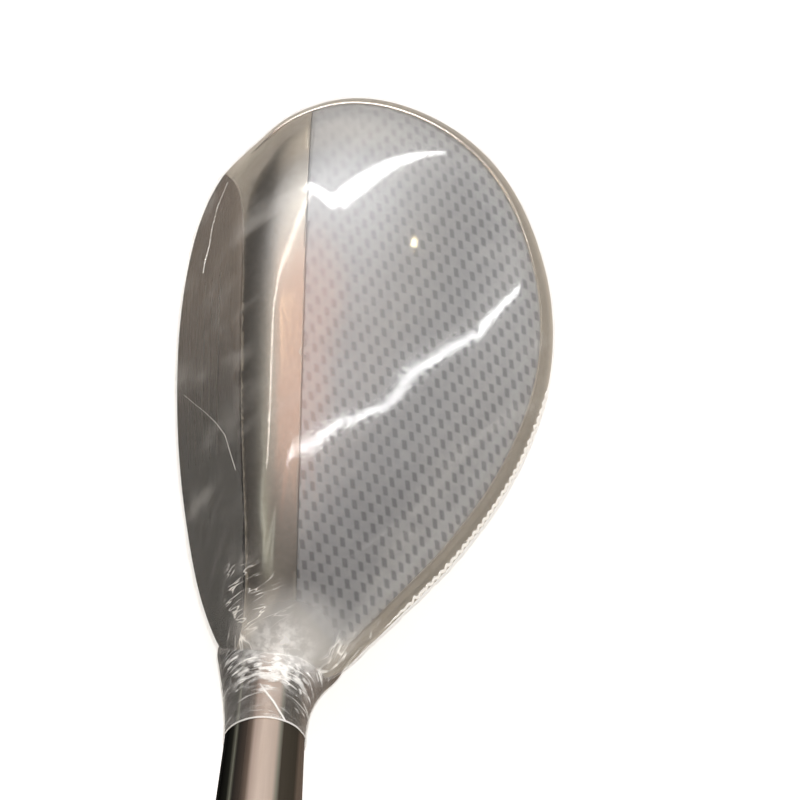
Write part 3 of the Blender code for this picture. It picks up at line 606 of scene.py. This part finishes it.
profile = []
for row in range(hosel["rows"] + 1):
    at = hosel["foot"] + (hosel["topAt"] - hosel["round"] - hosel["foot"]) * row / hosel["rows"]
    profile.append((hosel["top"], at))
for step in range(1, 5):
    turn = math.pi / 8 * step
    profile.append((hosel["top"] - hosel["round"] * (1 - math.cos(turn)),
                    hosel["topAt"] - hosel["round"] * (1 - math.sin(turn))))
profile += [(hosel["bore"] + 0.3, hosel["topAt"]), (hosel["bore"], hosel["topAt"] - 0.3),
            (hosel["bore"], hosel["boreFoot"]), (0, hosel["boreFoot"])]
bm = spun([(radius * mm, at * mm) for radius, at in profile], hosel["around"], Matrix())
for vert in bm.verts:
    flat = math.hypot(vert.co.x, vert.co.y)
    if flat > (hosel["top"] - 0.01) * mm:
        angle = math.atan2(vert.co.y, vert.co.x)
        share = (hosel["topAt"] - vert.co.z / mm) / (hosel["topAt"] - hosel["foot"])
        at = vert.co.z / mm - (hosel["foot"] - hoselFoot(angle)) * share
        grow = hoselRadius(at, angle) * mm / flat
        vert.co = Vector((vert.co.x * grow, vert.co.y * grow, at * mm))
bmesh.ops.transform(bm, matrix=shaftFoot, verts=bm.verts)
makePiece("hoselTube", bm, hoselSteel, slot="satin_steel")
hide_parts("head_body")

print("shaft and grip")
shaftSize = {"tip": 4.7, "butt": 7.6, "foot": 44.3, "parallel": 119, "end": 1014, "wall": 1.3,
             "steps": 12}


def shaftRadius(at):
    share = max(0, (at - shaftSize["parallel"]) / (shaftSize["end"] - shaftSize["parallel"]))
    return shaftSize["tip"] + (shaftSize["butt"] - shaftSize["tip"]) * share


stations = [shaftSize["foot"], shaftSize["parallel"]]
stations += [shaftSize["parallel"] + (shaftSize["end"] - shaftSize["parallel"]) * k / shaftSize["steps"]
             for k in range(1, shaftSize["steps"] + 1)]
profile = [(shaftRadius(at), at) for at in stations]
profile += [(radius - shaftSize["wall"], at) for radius, at in reversed(profile)]
bm = spun([(radius * mm, at * mm) for radius, at in profile + profile[:1]], 64, shaftFoot)
makePiece("shaftTube", bm, shaftPaint, "shaft", slot="shaft_paint")

ferrule = {"foot": 84.3, "length": 24, "lip": 6.9, "bead": 0.35}
profile = [(shaftRadius(ferrule["foot"]) + 0.1, ferrule["foot"])]
for row in range(41):
    share = row / 40
    radius = ferrule["lip"] + (shaftRadius(ferrule["foot"]) + 0.5 - ferrule["lip"]) * share ** 1.4
    if 0.08 < share < 0.3:
        radius += ferrule["bead"] * math.sin((share - 0.08) / 0.22 * math.pi * 2) ** 2 * 0.6
    profile.append((radius, ferrule["foot"] + ferrule["length"] * share))
profile.append((shaftRadius(ferrule["foot"]) + 0.1, ferrule["foot"] + ferrule["length"]))
bm = spun([(radius * mm, at * mm) for radius, at in profile + profile[:1]], 64, shaftFoot)
makePiece("ferruleRing", bm, ferrulePlastic, "ferrule", slot="ferrule_plastic")

grip = {"end": 1020, "length": 267, "cap": 6, "mouth": 8.8, "butt": 13.2, "capRadius": 13.8,
        "groove": 0.35, "pitch": 5.2, "tape": 0.25}
gripTop = grip["end"] - grip["cap"]
gripFoot = gripTop - grip["length"]
profile = []
count = int((gripTop - gripFoot) / 0.65)
for row in range(count + 1):
    at = gripFoot + (gripTop - gripFoot) * row / count
    share = (at - gripFoot) / (gripTop - gripFoot)
    radius = grip["mouth"] + (grip["butt"] - grip["mouth"]) * share ** 1.25
    radius -= 1.2 * max(0, 1 - (at - gripFoot) / 3) ** 2
    if 0.06 < share < 0.94:
        radius -= grip["groove"] * max(0, math.cos((at - gripFoot) / grip["pitch"] * 2 * math.pi)) ** 6
    profile.append((radius, at))
inner = [(shaftRadius(at) + grip["tape"] + 0.05, at) for radius, at in (profile[-1], profile[0])]
bm = spun([(radius * mm, at * mm) for radius, at in profile + inner + profile[:1]], 72, shaftFoot)
makePiece("gripSleeve", bm, gripRubber, "grip", slot="grip_rubber")

profile = [(1.2, gripTop + 0.3), (grip["butt"], gripTop + 0.3), (grip["capRadius"], gripTop + 1.4),
           (grip["capRadius"], gripTop + 3.2), (grip["capRadius"] - 0.6, gripTop + 4.8),
           (grip["capRadius"] - 2.4, grip["end"] - 0.3), (grip["capRadius"] - 4, grip["end"]),
           (2.2, grip["end"]), (1.2, grip["end"] - 0.8)]
bm = spun([(radius * mm, at * mm) for radius, at in profile + profile[:1]], 72, shaftFoot)
makePiece("gripCap", bm, capRubber, "grip_cap", slot="cap_rubber")

print("film")
wrap = {"grow": 0.45, "segments": 240, "rings": 120, "front": 1.2, "back": 8, "thickness": 0.1,
        "ripple": 0.012, "pleat": 0.28, "tuck": 0.25}
bm = headBall(wrap["grow"], 0, wrap["segments"], wrap["rings"])
slope = (wrap["back"] - wrap["front"]) / (44 - form["leadingEdge"])
bmesh.ops.bisect_plane(bm, geom=bm.verts[:] + bm.edges[:] + bm.faces[:], dist=1e-7,
                       plane_co=(form["leadingEdge"] * mm, 0, wrap["front"] * mm),
                       plane_no=(-slope, 0, 1), clear_inner=True)
bm.normal_update()
for vert in bm.verts:
    spot = vert.co / mm
    lift = wrap["ripple"] * noise.noise(spot / 7)
    heel = smooth(-8, -34, spot.y) * smooth(14, 30, math.hypot(spot.x, spot.y))
    around = math.degrees(math.atan2(spot.y, spot.x))
    ridge = noise.ridged_multi_fractal(Vector((around / 5, spot.z / 16, 0)), 1, 2, 3, 1, 2)
    lift += wrap["pleat"] * heel * ridge - wrap["tuck"] * heel
    vert.co += vert.normal * lift * mm
filmHead = makePiece("filmHead", bm, film, "wrap_film", slot="clear_film")
thicken(filmHead, wrap["thickness"] * mm)

crimp = {"from": 356, "to": 288, "steps": 700, "inset": 0.75, "width": 0.5, "scallop": 0.22, "pitch": 1.5}
bm = bmesh.new()
bmesh.ops.create_grid(bm, x_segments=crimp["steps"], y_segments=3, size=0.5)
for vert in bm.verts:
    degrees = crimp["from"] + (crimp["to"] - crimp["from"]) * (vert.co.x + 0.5)
    wave = math.sin(math.radians(degrees) * 43 / crimp["pitch"] * 2 * math.pi)
    wave *= 0.6 + 0.9 * noise.noise(Vector((degrees / 2.5, 0, 0)))
    thin = min(1, (vert.co.x + 0.5) * 6 + 0.3, (0.5 - vert.co.x) * 9 + 0.1)
    inset = crimp["inset"] + crimp["width"] * thin * vert.co.y + crimp["scallop"] * thin * wave
    share = 1 - inset / outlineRadius(degrees)
    vert.co = formPoint(degrees, share, True, wrap["grow"] + 0.15)
filmSeam = makePiece("filmSeam", bm, crimpedFilm, slot="clear_film")
thicken(filmSeam, 0.1 * mm)

# the film's torn edge lies up the toe side of the face, and a faint fold runs down its heel side
frays = {
    "filmFray": {"path": [(18.0, 18.9), (19.7, 19.4), (22.3, 21.5), (25.6, 22.5), (28.8, 24.6),
                          (32.2, 29.4)],
                 "width": (0.75, 0.12), "jag": 0.5},
    "filmFold": {"path": [(-2.6, 10), (-5, 15.6), (-7.4, 21.4), (-10.2, 27.4), (-13.2, 32.4),
                          (-20, 37.4)],
                 "width": (0.06, 0.13), "jag": 0},
}
for name, fray in frays.items():
    bm = bmesh.new()
    bmesh.ops.create_grid(bm, x_segments=240, y_segments=2, size=0.5)
    for vert in bm.verts:
        share = (vert.co.x + 0.5) * (len(fray["path"]) - 1)
        first = min(int(share), len(fray["path"]) - 2)
        start, end = fray["path"][first:first + 2]
        along = [a + (b - a) * (share - first) for a, b in zip(start, end)]
        width = fray["width"][0] + (fray["width"][1] - fray["width"][0]) * (vert.co.x + 0.5)
        jag = fray["jag"] * width * noise.noise(Vector((along[0] * 2.1, vert.co.y * 2, 0)))
        height = along[1] + vert.co.y * width + jag
        lift = 0.55 + 0.2 * fray["jag"] * noise.noise(Vector((along[0] * 3, vert.co.y * 3, 5)))
        vert.co = faceFrame @ (Vector((sag(along[0] * mm) / mm - lift, along[0], height)) * mm)
    thicken(makePiece(name, bm, crimpedFilm, slot="clear_film"), 0.05 * mm)

neck = {"top": 54, "slant": 9, "gap": 0.14, "fold": 0.14, "around": 128, "rows": 70}
bm = bmesh.new()
bmesh.ops.create_cone(bm, cap_ends=False, segments=neck["around"], radius1=1, radius2=1, depth=1)
upEdges = [edge for edge in bm.edges if abs(edge.verts[0].co.z - edge.verts[1].co.z) > 0.5]
bmesh.ops.subdivide_edges(bm, edges=upEdges, cuts=neck["rows"])
for vert in bm.verts:
    angle = math.atan2(vert.co.y, vert.co.x)
    top = neck["top"] - neck["slant"] * (1 - math.sin(angle)) / 2
    foot = hoselFoot(angle)
    at = foot + (top - foot) * (vert.co.z + 0.5)
    radius = hoselRadius(at, angle)
    crumple = noise.noise(Vector((math.cos(angle) * 1.6, math.sin(angle) * 1.6, at / 2.1)))
    radius += neck["gap"] + neck["fold"] * abs(crumple)
    vert.co = Vector((math.cos(angle) * radius, math.sin(angle) * radius, at)) * mm
bmesh.ops.transform(bm, matrix=shaftFoot, verts=bm.verts)
filmNeck = makePiece("filmNeck", bm, film, slot="clear_film")
thicken(filmNeck, wrap["thickness"] * mm)

print("stage")
floorMesh = bmesh.new()
bmesh.ops.create_grid(floorMesh, x_segments=1, y_segments=1, size=40)
mesh = bpy.data.meshes.new("floor")
floorMesh.to_mesh(mesh)
floorMesh.free()
floor = bpy.data.objects.new("floor", mesh)
floor.location.z = -0.3 * mm
bpy.context.collection.objects.link(floor)
paper, tree, shader = newMaterial("white_paper")
tree.nodes.remove(shader)
shade = addNode(tree, "ShaderNodeBsdfDiffuse", {}, {"Color": colour("#e8e6e2")}).outputs[0]
glow = glowing(tree, (1, 1, 1, 1), 0.68)
seen = addNode(tree, "ShaderNodeLightPath").outputs["Is Camera Ray"]
lit = addShader(tree, shade, glow)
look = mixShader(tree, seen, shade, lit)
below = addNode(tree, "ShaderNodeNewGeometry").outputs["Backfacing"]
clear = addNode(tree, "ShaderNodeBsdfTransparent").outputs[0]
look = mixShader(tree, below, look, clear)
showSurface(tree, look)
mesh.materials.append(paper)

world = bpy.data.worlds.new("studio")
bpy.context.scene.world = world
world.use_nodes = True
tree = world.node_tree
ray = addNode(tree, "ShaderNodeLightPath").outputs["Is Camera Ray"]
direction = addNode(tree, "ShaderNodeTexCoord").outputs["Generated"]
height = addNode(tree, "ShaderNodeSeparateXYZ", {}, {0: direction}).outputs[2]
sideways = addNode(tree, "ShaderNodeSeparateXYZ", {}, {0: direction}).outputs[0]
rise = addNode(tree, "ShaderNodeMapRange", {},
               {"Value": height, "From Min": 0.0, "From Max": 0.9}).outputs[0]
dome = mixColour(tree, rise, colour("#b3afaa"), colour("#6f6963"))
band = fade(tree, height, 0.3, 0.05)
dome = mixColour(tree, band, dome, colour("#e4e2de"))
dark = fade(tree, sideways, -0.05, -0.55)
dome = mixColour(tree, dark, dome, colour("#33302e"))
sky = mixColour(tree, ray, dome, (1, 1, 1, 1))
tree.links.new(sky, tree.nodes["Background"].inputs["Color"])


def aimed(place, target, along):
    side = Vector(along).normalized()
    away = Vector(place) - Vector(target)
    away = (away - away.dot(side) * side).normalized()
    turn = Matrix((side, away.cross(side), away)).transposed()
    return Matrix.Translation(place) @ turn.to_4x4()


def areaLight(name, place, target, along, length, width, power, tint="#ffffff"):
    lamp = bpy.data.lights.new(name, "AREA")
    lamp.shape = "RECTANGLE"
    lamp.size = length
    lamp.size_y = width
    lamp.energy = power
    lamp.color = colour(tint)[:3]
    lampObject = bpy.data.objects.new(name, lamp)
    lampObject.matrix_world = aimed(place, target, along)
    bpy.context.collection.objects.link(lampObject)


# a card that glows most at its middle and can't be seen by the camera
def glowCard(name, place, target, along, length, width, strength, tint):
    bm = bmesh.new()
    bmesh.ops.create_grid(bm, x_segments=1, y_segments=1, size=1)
    mesh = bpy.data.meshes.new(name)
    bm.to_mesh(mesh)
    bm.free()
    card = bpy.data.objects.new(name, mesh)
    card.matrix_world = aimed(place, target, along) @ Matrix.Diagonal((length / 2, width / 2, 1, 1))
    bpy.context.collection.objects.link(card)
    material, tree, shader = newMaterial(name + "_glow")
    tree.nodes.remove(shader)
    spot = objectPlace(tree)
    spot = vector(tree, "LENGTH", spot)
    seen = addNode(tree, "ShaderNodeLightPath").outputs["Is Camera Ray"]
    level = calc(tree, "MULTIPLY", fade(tree, spot, 1, 0, strength), calc(tree, "SUBTRACT", 1, seen))
    glow = glowing(tree, colour(tint), level)
    clear = addNode(tree, "ShaderNodeBsdfTransparent").outputs[0]
    look = addShader(tree, glow, clear)
    showSurface(tree, look)
    mesh.materials.append(material)


head = (0.008, 0, 0.03)
areaLight("longStrip", (0.35, 0.098, 1.0), head, (0.74, 0.018, 0), 0.74, 0.014, 0.64)
areaLight("middleStrip", (1.075, 0.167, 1.0), head, (0.75, 0.122, 0), 0.76, 0.018, 0.85)
areaLight("farStrip", (2.3, 0.62, 0.65), head, (1.74, 0.75, -0.7), 2.1, 0.06, 6)
areaLight("toeStrip", (1.61, 2.58, 0.85), head, (0.6, 0.8, -0.06), 5, 0.1, 21)
areaLight("toeCorner", (0, 0.68, 1.0), head, (0.69, -0.72, 0), 0.34, 0.06, 1)
areaLight("frontStrip", (-0.235, 0.19, 1.0), head, (0.29, 0.22, 0), 0.364, 0.02, 0.3, "#fff6ea")
areaLight("seamStrip", (-0.075, 0.5, 1.0), head, (0.03, 0.4, 0), 0.4, 0.016, 0.26, "#fff6ea")
areaLight("warmTop", (-0.055, 0.21, 1.0), head, (1, 0, 0), 0.015, 0.06, 0.014, "#ffd9a0")
areaLight("warmSpot", (0.47, 0.39, 0.84), head, (1, 0, 0), 0.03, 0.03, 0.14, "#ffe9b8")
areaLight("heelLamp", (-0.4, -1.5, 1.0), head, (1, 0, 0), 0.1, 0.1, 11, "#fff2e0")
glowCard("toeCard", (0, 1.6, 0.5), head, (1, 0, 0), 2.6, 1.6, 1.7, "#f0e6da")
glowCard("warmCard", (0.0, 0.25, 1.2), head, (0, 1, 0), 0.8, 0.4, 1.5, "#ff8418")
glowCard("greyCard", (-0.48, -0.15, 1.0), head, (0, 1, 0), 0.85, 0.28, 2.8, "#e9ebda")
glowCard("softCard", (-0.13, 1.3, 1.9), head, (1, 0, 0), 3.1, 3.1, 1.65, "#f2f6ff")
glowCard("heelCard", (-0.1, -1.3, 0.7), head, (1, 0, 0), 1.2, 0.8, 1.4, "#f4ebdf")

camera = bpy.data.objects.new("camera", bpy.data.cameras.new("camera"))
camera.data.lens = 3010 * 36 / 800
camera.data.sensor_width = 36
camera.data.clip_end = 50
camera.location = (0.0176, -0.09703, 0.53995)
camera.rotation_euler = (math.radians(10), 0, 0)
bpy.context.collection.objects.link(camera)
bpy.context.scene.camera = camera
bpy.context.scene.view_settings.view_transform = "Standard"
